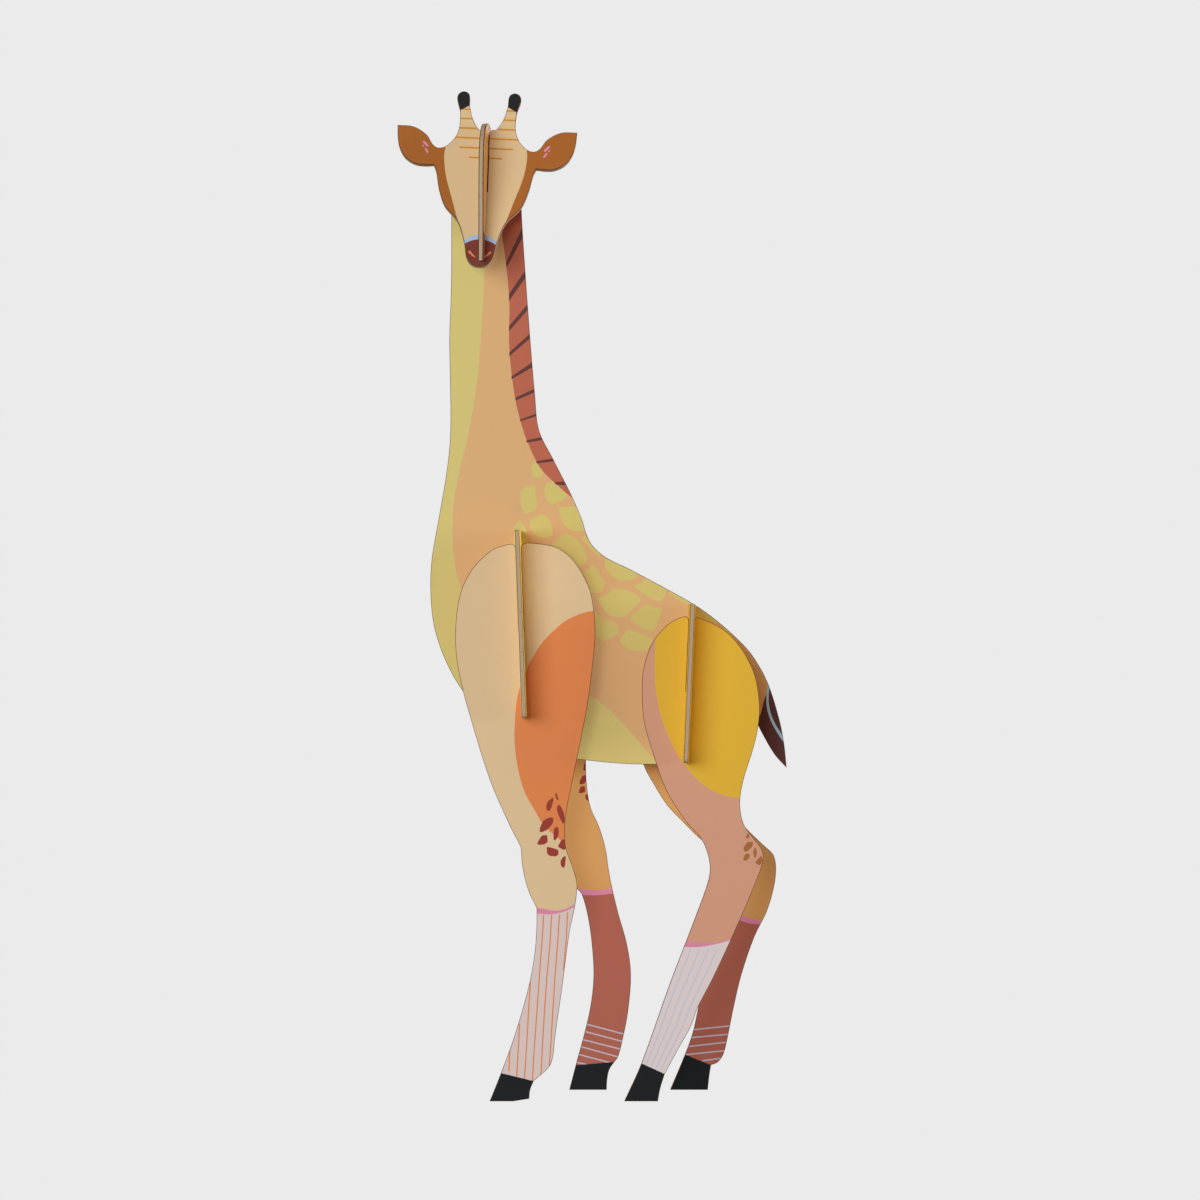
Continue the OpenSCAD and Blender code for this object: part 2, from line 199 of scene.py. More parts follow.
class Signal:
    """A number, vector or colour on its way through a shader."""

    def __init__(self, paint, socket):
        self.paint = paint
        self.socket = socket

    def _with(self, operation, first, second):
        sides = (first, second)
        kinds = [side.socket.type if isinstance(side, Signal)
                 else KINDS[len(side)] if isinstance(side, tuple)
                 else "VALUE" for side in sides]
        if "RGBA" in kinds:
            settings = {"data_type": "RGBA", "blend_type": operation}
            first, second = ((side,) * 3 + (1.0,) if isinstance(side, (int, float)) else side
                             for side in sides)
            return self.paint.node("ShaderNodeMix", settings, {0: 1.0, 6: first, 7: second}, 2)
        if "VECTOR" in kinds:
            first, second = ((side,) * 3 if isinstance(side, (int, float)) else side
                             for side in sides)
            return self.paint.node("ShaderNodeVectorMath", {"operation": operation},
                                   {0: first, 1: second})
        return self.paint.node("ShaderNodeMath", {"operation": operation}, {0: first, 1: second})

    def __add__(self, other):
        return self._with("ADD", self, other)

    def __radd__(self, other):
        return self._with("ADD", other, self)

    def __sub__(self, other):
        return self._with("SUBTRACT", self, other)

    def __rsub__(self, other):
        return self._with("SUBTRACT", other, self)

    def __mul__(self, other):
        return self._with("MULTIPLY", self, other)

    def __rmul__(self, other):
        return self._with("MULTIPLY", other, self)


class Paint:
    """A new material, or a world, and the node tree that it is made of."""

    def __init__(self, name, kind="materials"):
        self.made = getattr(bpy.data, kind).new(name)
        self.made.use_nodes = True
        self.tree = self.made.node_tree
        self.tree.nodes.clear()

    def node(self, kind, settings=None, values=None, output=0):
        made = self.tree.nodes.new(kind)
        for name, value in (settings or {}).items():
            setattr(made, name, value)
        for name, value in (values or {}).items():
            socket = made.inputs[name]
            if isinstance(value, Signal):
                self.tree.links.new(value.socket, socket)
            else:
                socket.default_value = value
        return Signal(self, made.outputs[output]) if made.outputs else None

    def place(self):
        return self.node("ShaderNodeTexCoord", output="Object")

    def noise(self, place, scale, detail=2.0):
        return self.node("ShaderNodeTexNoise", None,
                         {"Vector": place, "Scale": scale, "Detail": detail}, "Fac")

    def blend(self, share, first, second):
        return self.node("ShaderNodeMix", {"data_type": "RGBA"}, {0: share, 6: first, 7: second}, 2)

    def step(self, value, low, high):
        settings = {"interpolation_type": "SMOOTHSTEP"}
        return self.node("ShaderNodeMapRange", settings,
                         {"Value": value, "From Min": low, "From Max": high})

    def finish(self, colour, roughness, height, depth, specular):
        normal = self.node("ShaderNodeBump", None,
                           {"Height": height, "Strength": BUMP_STRENGTH, "Distance": depth})
        shader = self.node("ShaderNodeBsdfPrincipled", None, {
            "Base Color": colour, "Roughness": roughness, "Normal": normal,
            "Specular IOR Level": specular,
        })
        self.node("ShaderNodeOutputMaterial", None, {"Surface": shader})
        return self.made


def rgba(colour):
    return (*colour, 1.0)


# Noise scales, in bumps per metre
PRINT_GRAIN = 2200.0
PRINT_CLOUD = 38.0
PRINT_FIBRE = (900.0, 900.0, 260.0)
EDGE_FIBRE = 1500.0
BOARD_FIBRE = 1900.0
BOARD_LAYER = 420.0
BOARD_FLECK = 780.0
BUMP_STRENGTH = 0.6
# How deep each surface's bumps are
PRINT_RELIEF = 0.02 * MM
EDGE_RELIEF = 0.03 * MM
BOARD_RELIEF = 0.08 * MM
# Where a tone of the board starts and is full, as shares of the way from its middle to its face
PLY_REACH = (0.02, 0.16)
GLUE_REACH = (0.62, 0.9)
# Where a fleck starts and is full, on the fleck noise
FLECK_REACH = (0.6, 0.72)


def printed_paper(name):
    """Ink on coated paper: nearly even, with a faint cloud, a fine grain and a soft sheen."""
    found = bpy.data.materials.get("print_" + name)
    if found:
        return found
    paint = Paint("print_" + name)
    place = paint.place()
    grain = paint.noise(place, PRINT_GRAIN, 3.0)
    cloud = paint.noise(place, PRINT_CLOUD)
    fibre = paint.noise(place * PRINT_FIBRE, 1.0, 3.0)
    tone = 0.96 + 0.035 * grain + 0.03 * cloud + 0.015 * fibre
    colour = tone * rgba(getattr(inks(), name))
    return paint.finish(colour, 0.52 + 0.14 * grain, grain + fibre, PRINT_RELIEF, 0.2)


def cut_paper():
    """The rounded, unprinted edge of a sheet."""
    found = bpy.data.materials.get("sheet_edge")
    if found:
        return found
    paint = Paint("sheet_edge")
    place = paint.place()
    fibre = paint.noise(place, EDGE_FIBRE, 4.0)
    colour = paint.blend(fibre, rgba(inks().cut_paper), rgba(inks().glue_line))
    return paint.finish(colour, 0.8 + 0.15 * fibre, fibre, EDGE_RELIEF, 0.05)


def grey_board(board, normal, middle, half):
    """Pressed grey board on its cut edge: matted fibres in layers, darker towards each sheet."""
    paint = Paint("grey_" + board)
    place = paint.place()
    height = paint.node("ShaderNodeVectorMath", {"operation": "DOT_PRODUCT"}, {0: place, 1: normal},
                        "Value")
    across = (height - middle) * (1 / half)
    depth = paint.node("ShaderNodeMath", {"operation": "ABSOLUTE"}, {0: across})
    layers = paint.noise(place * BOARD_LAYER + across * 3.0, 1.0, 4.0)
    fibres = paint.noise(place, BOARD_FIBRE, 5.0)
    flecks = paint.step(paint.noise(place, BOARD_FLECK, 3.0), *FLECK_REACH)
    colour = paint.blend(0.55 * layers + 0.45 * fibres, rgba(inks().board_light),
                         rgba(inks().board_dark))
    colour = paint.blend(0.4 * flecks, colour, rgba(inks().glue_line))
    ply = 0.35 - 0.35 * paint.step(depth, *PLY_REACH)
    colour = paint.blend(ply, colour, rgba(inks().board_dark))
    colour = paint.blend(paint.step(depth, *GLUE_REACH), colour, rgba(inks().glue_line))
    return paint.finish(colour, 0.84 + 0.12 * fibres, fibres + layers, BOARD_RELIEF, 0.15)


# ---------------------------------------------------------------- flat artwork, in millimetres

def smooth_line(points, steps=4):
    """A smooth open line through the points."""
    first = tuple(2 * a - b for a, b in zip(points[0], points[1]))
    last = tuple(2 * a - b for a, b in zip(points[-1], points[-2]))
    ends = [first, *points, last]
    made = []
    for i in range(1, len(ends) - 2):
        made += [between(ends[i - 1:i + 3], j / steps) for j in range(steps)]
    return [*made, points[-1]]


def smooth_loop(points, steps=3, roundness=0.5):
    """A closed line through the points, straight-sided at roundness 0 and a smooth curve at 1."""
    made = []
    count = len(points)
    for i in range(count):
        four = [points[(i + k) % count] for k in (-1, 0, 1, 2)]
        for j in range(steps):
            t = j / steps
            chord = [p + (q - p) * t for p, q in zip(four[1], four[2])]
            made.append(tuple(c + (s - c) * roundness for c, s in zip(chord, between(four, t))))
    return made


def between(four, t):
    """A point between the middle two of four points, on the smooth curve through them."""
    a, b, c, d = four
    return tuple(
        0.5 * (2 * q + (r - p) * t + (2 * p - 5 * q + 4 * r - s) * t ** 2
               + (3 * q - p - 3 * r + s) * t ** 3)
        for p, q, r, s in zip(a, b, c, d)
    )


def stroke(points, width, tip=None, round_ends=True):
    """The outline of a pen stroke along the points, which narrows to the width at its tip."""
    tip = width if tip is None else tip
    left, right = [], []
    count = len(points)
    for i, (x, y) in enumerate(points):
        ahead, behind = points[min(i + 1, count - 1)], points[max(i - 1, 0)]
        dx, dy = ahead[0] - behind[0], ahead[1] - behind[1]
        size = math.hypot(dx, dy)
        half = (width + (tip - width) * i / (count - 1)) / 2
        nx, ny = -dy / size * half, dx / size * half
        left.append((x + nx, y + ny))
        right.append((x - nx, y - ny))
    if not round_ends:
        return left + right[::-1]
    return (left + cap(points[-2], points[-1], tip / 2)
            + right[::-1] + cap(points[1], points[0], width / 2))


def cap(before, end, radius):
    turn = math.atan2(end[1] - before[1], end[0] - before[0])
    return [
        (end[0] + radius * math.cos(turn + a), end[1] + radius * math.sin(turn + a))
        for a in (math.pi / 4, 0, -math.pi / 4)
    ]


def shifted(points, dx, dy):
    return [(x + dx, y + dy) for x, y in points]


def flipped(points):
    return [(-x, y) for x, y in points]


def span_at(outline, height):
    """Leftmost and rightmost point of an outline at a height."""
    found = []
    for (x0, y0), (x1, y1) in zip(outline, outline[1:] + outline[:1]):
        if (y0 - height) * (y1 - height) < 0:
            found.append(x0 + (x1 - x0) * (height - y0) / (y1 - y0))
    return min(found), max(found)


def down_the_leg(outline, share, top, bottom, steps=8):
    """A line down a shank that keeps the same share of its width."""
    made = []
    for i in range(steps + 1):
        height = top + (bottom - top) * i / steps
        left, right = span_at(outline, height)
        made.append((left + (right - left) * share, height))
    return made


class Drawing:
    """The print of one sheet: a ground colour, and shapes painted over it in order."""

    def __init__(self, ground):
        self.ground = ground
        self.shapes = []

    def paint(self, colour, *outlines):
        self.shapes += [(colour, outline) for outline in outlines]


# Width of the lines on the socks and of the lines across the face
SOCK_LINE = 0.5
FACE_LINE = 0.75
# How far a shape runs past the edge of a small board, and of a leg
BEYOND = 60
PAST_LEG = 120
BELOW_SOLE = -20

# Trunk and neck, seen from the left: x towards the tail, y up
CHEST_EDGE = [
    (-43, 385), (-43, 331), (-43.2, 320), (-43.8, 310), (-44.5, 300), (-45.2, 290), (-46.5, 280),
    (-48.2, 270), (-50.2, 260), (-52.8, 250), (-54.7, 240), (-55.5, 230), (-55.4, 220),
    (-54.2, 210),
    (-52, 202.5), (-45, 190), (-30, 175), (-10, 163), (0, 159.5), (5, 156), (10, 151.5), (15, 146),
    (20, 140), (25, 134.5), (27, 131),
]
MANE_EDGE = [
    (-37.5, 385), (-37, 362), (-35.8, 345), (-34.5, 335), (-33.4, 325), (-32.8, 315), (-33, 305),
    (-32.6, 295), (-31.5, 285), (-29.8, 275), (-27, 265), (-25, 260), (-22.8, 255), (-19.8, 250),
    (-14.8, 245), (-9, 240), (-7.6, 239),
]
# Each stroke of the mane: x, top and bottom at its outer end, then at its inner end
MANE_STROKES = [
    (-27.9, 364, 359.5, -35.4, 350, 347.5), (-28, 346.2, 342.2, -34.1, 333.2, 330.8),
    (-26.4, 330, 327, -33, 320.5, 317.5), (-25.5, 316.5, 314, -33, 307.5, 305.5),
    (-24.8, 304.5, 302.5, -32.9, 297, 295.5), (-23.9, 293, 291, -32, 287.5, 286.3),
    (-23, 282.5, 281, -30.4, 279, 277.8), (-22, 272.7, 271.6, -28.6, 270.2, 269.5),
    (-20, 263.2, 262, -26, 262, 261), (-15.3, 254.7, 253.5, -22, 253.6, 252.7),
    (-10.4, 245.5, 244, -14.5, 245.3, 244.3),
]
BACK_PATCHES = [
    [(-22.5, 253), (-24, 251.5), (-23.8, 248.5), (-22.5, 247), (-20.5, 246.8), (-19, 249.5)],
    [(-22.7, 244.2), (-25.5, 243.5), (-28, 242), (-28.6, 240), (-28, 235.5), (-27, 233),
     (-25.5, 232.6),
     (-22.5, 234.3), (-21.8, 237), (-22.3, 240)],
    [(-15.5, 245.3), (-18, 244.8), (-18.9, 242), (-18.3, 239), (-17, 237), (-15.5, 236.5),
     (-12.5, 237.5),
     (-9.5, 239.7), (-12, 242.3)],
    [(-13.2, 234.7), (-12, 235.2), (-5.6, 235.3), (-3.7, 230), (-3, 226.5), (-4.5, 225.5),
     (-8, 226),
     (-10.5, 227.5), (-11.5, 229.5), (-12.5, 232)],
    [(-24.5, 230.2), (-22.5, 231), (-20.5, 232.3), (-18.5, 232), (-16.5, 229.5), (-15.5, 226.5),
     (-16, 224),
     (-18, 223), (-21, 223.2), (-23.5, 225.3), (-24.6, 227.5)],
    [(-31, 220), (-31, 226), (-30.3, 228.8), (-28.5, 230), (-27.3, 228.5), (-26, 226),
     (-25.5, 221)],
    [(-16, 220.3), (-14, 221.8), (-12, 223.8), (-10, 224.7), (-7.5, 223.5), (-4.5, 221),
     (-2.8, 218),
     (-1.8, 214.8), (-2.5, 213), (-5, 211.5), (-10, 214)],
    [(-4, 222.5), (-3, 224), (0.5, 219.5), (4, 216.3), (2.5, 215.7), (0.5, 217.5), (-1.5, 219.8)],
    [(0.2, 212.3), (-1, 210.5), (-3, 209.5), (-2, 207), (-0.5, 203), (0, 200.9), (3.5, 201),
     (5, 203),
     (5.3, 205), (3.5, 208), (2, 211)],
    [(6, 214.7), (10, 212.8), (15, 210.5), (18.5, 208.2), (17, 206.5), (13, 205.8), (9, 207),
     (6.5, 209.5),
     (5.2, 212)],
    [(8.5, 203), (10, 202.6), (15, 201.8), (19, 199.5), (19.8, 197.5), (17.5, 195.5), (14.5, 192.5),
     (11, 191.2), (7, 192.2), (4, 195.5), (2.3, 198.8), (5.5, 200), (7, 200.7)],
    [(21.5, 207), (25, 205), (30, 202.3), (28.5, 198.2), (26.5, 197.6), (22, 199.8), (17.2, 203.3),
     (18.5, 204.5), (20, 205)],
    [(31, 201.6), (35, 200.6), (40.5, 197), (39, 196.2), (37, 196.9), (34.5, 198.2), (32.3, 199.7)],
    [(23, 196.1), (20.5, 195.5), (18.5, 193.5), (15.3, 190.8), (18, 188.2), (23, 185.6), (25, 186),
     (26.8, 189.5), (28.3, 194.5), (25, 195.3)],
    [(1.5, 192.8), (5, 190.3), (9.5, 189.2), (11, 186.5), (10.5, 184.5), (8, 183), (5, 181.8),
     (3, 183),
     (0, 185), (-2, 189)],
    [(14.5, 186.3), (13, 184.5), (11.2, 181.5), (14, 178.8), (17.5, 177.6), (22, 178), (23.5, 180),
     (24.5, 182.3), (21.5, 184), (17.5, 185.5)],
    [(41, 194.5), (44, 194.2), (51, 190.2), (50, 188.4), (45, 189.5), (41, 191)],
    [(52.4, 186.5), (53, 188), (56, 186), (55, 184.3)],
]
TUFT_EDGE = [
    (72, 164), (70.7, 162.2), (69.6, 159.8), (68.7, 157), (67.8, 153), (66, 149.5), (66.3, 146),
    (73, 134),
    (78, 125), (90, 125), (90, 164),
]
TUFT_LINE = [(70.7, 163.5), (70.4, 160), (70.5, 156), (71.3, 152.3), (73, 148.3), (75, 145),
             (77.4, 141.4)]


def trunk_print(outline):
    drawing = Drawing("neck_tan")
    drawing.paint("chest_green", smooth_line(CHEST_EDGE) + [(27, 100), (-90, 100), (-90, 385)])
    drawing.paint("patch_green", *[smooth_loop(patch) for patch in BACK_PATCHES])
    drawing.paint("mane_red", smooth_line(MANE_EDGE) + [(20, 239), (20, 400), (-37.5, 400)])
    for x0, top, low, x1, inner_top, inner_low in MANE_STROKES:
        run = (x0 + 3 - x1) / (x0 - x1)
        drawing.paint("mane_stripe", [
            (x1, inner_top), (x1, inner_low), (x0 + 3, inner_low + (low - inner_low) * run),
            (x0 + 3, inner_top + (top - inner_top) * run),
        ])
    drawing.paint("tail_brown", TUFT_EDGE)
    drawing.paint("tail_blue", stroke(smooth_line(TUFT_LINE), 0.85, 1.25, False))
    return drawing


KNEE_SPOTS = [
    [(-14.3, 121.6), (-14.1, 120.4), (-13.7, 119.1), (-13, 119.3), (-13.4, 120.6), (-13.7, 121.7)],
    [(-15.2, 120.1), (-17.2, 118.5), (-17.9, 116.5), (-17.6, 115.1), (-16.6, 114.7), (-15.8, 116),
     (-15, 119)],
    [(-13, 117.2), (-13.7, 116), (-13.3, 113.8), (-11.5, 110), (-10.8, 109.8), (-10.5, 111.5),
     (-10.9, 114),
     (-12, 116.5)],
    [(-15.3, 112.2), (-17, 112), (-19, 110.9), (-20.2, 108.5), (-20.5, 106.8), (-19.8, 106.3),
     (-17.5, 107.3),
     (-15.5, 109.5), (-15, 111)],
    [(-13.9, 108.5), (-14.8, 107.5), (-15, 104), (-14.5, 103), (-13.5, 104), (-12.9, 106),
     (-13.1, 108)],
    [(-17.6, 105.2), (-19.5, 105), (-20.6, 103.5), (-21.4, 101.8), (-20.5, 101.3), (-18.5, 101.6),
     (-17.3, 102.5), (-17.4, 104.5)],
    [(-11, 103.6), (-12, 103), (-13.1, 101), (-12.8, 100.3), (-10.5, 99.3), (-9.6, 102)],
    [(-17.6, 100.3), (-17.5, 98), (-16.5, 97), (-14, 96.8), (-13, 97.7), (-13.2, 99.3), (-15, 100),
     (-17, 100.5)],
    [(-10.4, 97), (-11.5, 96.2), (-12.2, 94.8), (-12, 93), (-10.8, 92.2), (-10.4, 93.5),
     (-10.1, 96)],
]
THIGH_TOP = [
    (8, 194), (0.6, 193.7), (-2, 193.3), (-5, 192.4), (-8, 191.1), (-10.5, 189.7), (-13.5, 187.3),
    (-17, 184),
    (-20, 180.5), (-22.5, 176.5), (-24.5, 173), (-25.8, 170), (-28.3, 163.5),
]


# A right leg's sock: the pink band's top and lower edge, then the top of the hoof
RIGHT_FRONT_SOCK = (
    [(-8, 81.9), (-5.6, 81.5), (2, 80.8), (8.4, 81.6), (11, 82)],
    [(-8, 79.3), (-4, 78.9), (2, 78.7), (9.2, 79.5), (11, 79.8)],
    [(-6.4, 10), (9.4, 11.3)],
)
RIGHT_HIND_SOCK = (
    [(50, 71.6), (60.8, 70.3), (64.4, 69.4), (69.1, 68.3), (74, 67.4)],
    [(50, 69.6), (60.1, 68.5), (63.4, 67.4), (68.2, 66.8), (74, 65.6)],
    [(37.8, 14.3), (48, 10.1)],
)


def socks(drawing, sock, band_top, band_low, hoof_top, lines, line_colour):
    """A sock with its lines, the pink band above it and the hoof below."""
    drawing.paint(sock, [(-PAST_LEG, band_low[0][1]), *band_low, (PAST_LEG, band_low[-1][1]),
                         (PAST_LEG, BELOW_SOLE), (-PAST_LEG, BELOW_SOLE)])
    drawing.paint(line_colour, *[stroke(line, SOCK_LINE) for line in lines])
    drawing.paint("band_pink", smooth_line(band_top) + smooth_line(band_low)[::-1])
    (x0, y0), (x1, y1) = hoof_top
    slope = (y1 - y0) / (x1 - x0)
    drawing.paint("hoof_black", [(x0 - 8, y0 - 8 * slope), (x1 + 8, y1 + 8 * slope),
                                 (x1 + 8, BELOW_SOLE), (x0 - 8, BELOW_SOLE)])


def left_front_outer(outline):
    drawing = Drawing("leg_cream")
    thigh = THIGH_TOP + [
        (-29.7, 157), (-30.4, 147), (-30.3, 141), (-29.8, 136), (-29, 131.5), (-28, 127),
        (-26.5, 122.5),
        (-25, 119.5), (-23, 116), (-21, 112.5), (-20, 110.8), (-17, 107.3), (-15, 105.5),
        (-12.5, 103.5),
        (-9, 100.3),
    ]
    drawing.paint("thigh_orange", smooth_line(thigh) + [(8, 100)])
    drawing.paint("spot_red", *[smooth_loop(spot) for spot in KNEE_SPOTS])
    socks(
        drawing, "sock_pale",
        [(-24, 76.9), (-21.6, 76.5), (-18, 75.9), (-15, 75.4), (-12, 75.6), (-9, 76.6), (-5, 78.6)],
        [(-24, 74.4), (-21.5, 74.2), (-18, 73.9), (-15, 74), (-12, 74.6), (-9, 75.7), (-5, 77.6)],
        [(-35.8, 11.2), (-22.8, 8)],
        [
            [(-18.9, 73.4), (-19.6, 62), (-20.6, 49), (-21.7, 33), (-22.7, 19), (-23.3, 8.2)],
            [(-15.7, 73.6), (-16.4, 62), (-17.6, 49), (-18.7, 33), (-19.5, 19), (-19.9, 10.4)],
            [(-12.6, 73.6), (-13.4, 62), (-14.4, 49), (-15.4, 33), (-16.2, 20), (-16.6, 14.2)],
            [(-9.4, 74.8), (-10, 63), (-11, 52)],
            [(-24.1, 47), (-24.7, 38), (-25.3, 27), (-25.9, 17), (-26.5, 8.8)],
            [(-28.4, 30.5), (-28.8, 22), (-29.5, 10)],
            [(-32.2, 20), (-32.6, 12)],
        ],
        "sock_orange",
    )
    return drawing


def right_front_outer(outline):
    drawing = Drawing("leg_cream")
    thigh = THIGH_TOP + [(-27.6, 156), (-26, 148), (-21.5, 138), (-16, 128), (-10, 118), (-4, 109),
                         (2, 101), (9, 92)]
    drawing.paint("thigh_orange", smooth_line(thigh) + [(20, 100)])
    drawing.paint("spot_red", *[smooth_loop(shifted(spot, 13, 3)) for spot in KNEE_SPOTS])
    socks(
        drawing, "sock_pale",
        *RIGHT_FRONT_SOCK,
        [down_the_leg(outline, share, 78, 10.5) for share in (0.14, 0.3, 0.46, 0.62, 0.78)],
        "sock_orange",
    )
    return drawing


def left_inner_sock(drawing, band_top, band_low, hoof_top, run):
    """The sock on the inner side of a left leg; its lines move along by the run as they climb."""
    count, spacing, first, past = 6, 3.05, 1, 4
    (x0, y0), (x1, y1) = hoof_top
    lines = [
        [(x0 + run * k - past, y0 + spacing * k + first - past * (y1 - y0) / (x1 - x0)),
         (x1 + run * k + past, y1 + spacing * k + first + past * (y1 - y0) / (x1 - x0))]
        for k in range(count)
    ]
    socks(drawing, "inner_maroon", band_top, band_low, hoof_top, lines, "inner_line")


def left_front_inner(outline):
    drawing = Drawing("inner_ochre")
    left_inner_sock(
        drawing,
        [(-24, 76.9), (-18, 75.9), (-12, 76), (-5, 78.2)], [(-24, 74.4), (-18, 73.9), (-12, 74.1),
                                                            (-5, 76)],
        [(-35.8, 11.2), (-22.8, 8)], 0.9,
    )
    return drawing


def right_front_inner(outline):
    drawing = Drawing("inner_ochre")
    drawing.paint("spot_red", *[smooth_loop(spot) for spot in [
        [(-2.3, 132.8), (-3.1, 131.5), (-3.3, 129.4), (-2.3, 128.9), (-1.2, 130.5)],
        [(-2.2, 127.3), (-3.7, 126.9), (-4.9, 124.6), (-4.7, 123.5), (-3.1, 123.8), (-2, 125)],
        [(-2.8, 122.8), (-4.5, 122.5), (-5.2, 120.2), (-4.2, 120), (-2.6, 120.5)],
        [(-1.7, 119.5), (-2.6, 119.2), (-2.4, 117.7), (-1.4, 116.8), (-0.6, 117.8)],
    ]])
    socks(
        drawing, "inner_maroon",
        *RIGHT_FRONT_SOCK,
        [
            [(-4.5, 27.2), (15.6, 21.9)], [(-5.3, 24.3), (15, 18.9)], [(-6.2, 21), (14.2, 15.8)],
            [(-7, 18.2), (13.3, 12.6)], [(-7.8, 15), (7.1, 11.1)], [(-8.5, 11.6), (-2.1, 10.3)],
        ],
        "inner_line",
    )
    return drawing


HIP_EDGE = [
    (25.3, 192), (25.3, 183), (25, 178), (25, 170), (25.3, 164), (26, 159), (27.5, 152),
    (29.5, 146.5),
    (32, 141), (35, 135.5), (38, 131.5), (41, 128), (44.5, 125), (48, 122.7), (52, 121),
    (56, 120.1),
    (62, 119.6),
]
SHANK_SPOTS = [
    [(62, 106), (61, 104.5), (61.5, 103.8), (62.5, 104.5)],
    [(63.9, 102.3), (61.8, 102.5), (60.3, 100.5), (60.3, 99), (61.3, 98.6), (63.3, 100.3)],
    [(64.8, 100.3), (64, 99), (64.3, 96.5), (65, 96.3), (65.4, 98.5)],
    [(62.3, 97.9), (60.7, 97.6), (60, 95.3), (61.3, 95.2), (62.5, 96.5)],
    [(67.3, 97), (65.8, 95.8), (64.8, 94.3), (66.5, 93.2), (67.6, 95)],
]


def left_hind_outer(outline):
    drawing = Drawing("shank_pink")
    drawing.paint("hip_yellow", smooth_line(HIP_EDGE) + [(80, 119.6), (80, 200), (25.3, 200)])
    drawing.paint("shank_spot", *[smooth_loop(spot) for spot in SHANK_SPOTS])
    socks(
        drawing, "hind_sock",
        [(34, 63.4), (37.6, 63.3), (47, 62.6), (54.8, 64), (60, 65.6)],
        [(34, 60.9), (36.5, 61), (43, 61), (50, 62.3), (54.5, 63.6), (60, 65.4)],
        [(19.8, 15), (29, 10.8)],
        [down_the_leg(outline, share, 60, 12.5) for share in (0.18, 0.38, 0.58, 0.78)],
        "hind_line",
    )
    return drawing


def right_hind_outer(outline):
    drawing = Drawing("shank_pink")
    drawing.paint("hip_yellow", smooth_line(HIP_EDGE) + [(80, 119.6), (80, 200), (25.3, 200)])
    drawing.paint("shank_spot", *[smooth_loop(shifted(spot, 5, -4)) for spot in SHANK_SPOTS])
    socks(
        drawing, "hind_sock",
        *RIGHT_HIND_SOCK,
        [down_the_leg(outline, share, 66, 15) for share in (0.18, 0.38, 0.58, 0.78)],
        "hind_line",
    )
    return drawing


def left_hind_inner(outline):
    drawing = Drawing("inner_ochre")
    left_inner_sock(
        drawing,
        [(34, 63.4), (47, 62.9), (60, 65.6)], [(34, 61), (47, 60.9), (60, 63.4)], [(19.8, 15),
                                                                                   (29, 10.8)], 1.6,
    )
    return drawing


def right_hind_inner(outline):
    drawing = Drawing("inner_ochre")
    socks(
        drawing, "inner_maroon",
        *RIGHT_HIND_SOCK,
        [
            [(38, 24), (62, 26.5)], [(38, 20.9), (60, 22.9)], [(36, 17.2), (58, 19.6)],
            [(36, 14), (57, 16.2)], [(45, 11.8), (56, 13.2)],
        ],
        "inner_line",
    )
    return drawing


# The face's middle lies this far below the tips of the ears
EAR_LINE = 27.8
# Lines across the forehead: height and half their length
FOREHEAD_LINES = ((23.45, 14), (19.15, 10.4), (14.9, 6.4))
# Lines across a horn: height, inner and outer end
HORN_LINES = ((27.7, 4.6, 15), (31.9, 4, 15), (36, 5, 10.4))


def face_print(outline):
    """x runs across the face from its middle, y up."""
    drawing = Drawing("face_cream")
    cheek = smooth_line([(16.1, 22), (16.2, 19.3), (16.5, 14.4), (15.3, 6.3), (12.5, -3),
                         (10.2, -10.6), (9, -14.5)])
    cheek += [(60, -14.5), (60, 46), (16.1, 46)]
    band_top = smooth_line([(-8, -22.3), (-4.3, -19.7), (0, -18.4), (4.3, -19.7), (8, -22.3)])
    band_low = smooth_line([(-8, -24), (-4.2, -21.5), (0, -20.5), (4.2, -21.5), (8, -24)])
    drawing.paint("nose_blue", band_top + band_low[::-1])
    drawing.paint("muzzle_maroon", band_low + [(20, -24), (20, -50), (-20, -50), (-20, -24)])
    for level, half in FOREHEAD_LINES:
        drawing.paint("stripe_ochre", stroke([(-half, level), (half, level)], FACE_LINE))
    for side in (lambda points: points, flipped):
        drawing.paint("ear_brown", side(cheek))
        for level, inner, outer in HORN_LINES:
            drawing.paint("stripe_ochre", side(stroke([(inner, level), (outer, level)], FACE_LINE)))
        drawing.paint("horn_black", side([(5.9, 38.7), (7.4, 37.8), (11.4, 35.4), (14, 33.8),
                                          (20, 50), (4, 50)]))
        drawing.paint("ear_pink", side(stroke([(25, 20.9), (23.4, 19.2)], 0.85)))
        drawing.paint("ear_pink", side(stroke([(25.3, 19.3), (24.9, 18.9)], 0.5)))
        drawing.paint("ear_pink", side(stroke([(24.1, 17.9), (23.2, 16.4)], 0.7)))
        drawing.paint("nostril_coral", side(stroke([(4.1, -26.1), (3, -27.3), (1.9, -28.2)], 1.0,
                                                   0.5)))
    return drawing


def ridge_print(outline):
    """The face's forehead lines and muzzle colour, then the mane's red at the back; x runs back."""
    muzzle_top, mane_front = -19, 3.5
    # The ground is the ochre print of the ridge's sides, darkened as painted shade
    drawing = Drawing("ridge_ochre")
    for level, _ in FOREHEAD_LINES:
        drawing.paint("stripe_ochre", stroke([(-BEYOND, level), (BEYOND, level)], FACE_LINE))
    drawing.paint("muzzle_maroon", [
        (-BEYOND, muzzle_top), (BEYOND, muzzle_top), (BEYOND, -BEYOND), (-BEYOND, -BEYOND),
    ])
    drawing.paint("mane_red", [
        (mane_front, -BEYOND), (BEYOND, -BEYOND), (BEYOND, BEYOND), (mane_front, BEYOND),
    ])
    return drawing


def plain_print(colour):
    return lambda outline: Drawing(colour)


# ---------------------------------------------------------------- sheets on their boards

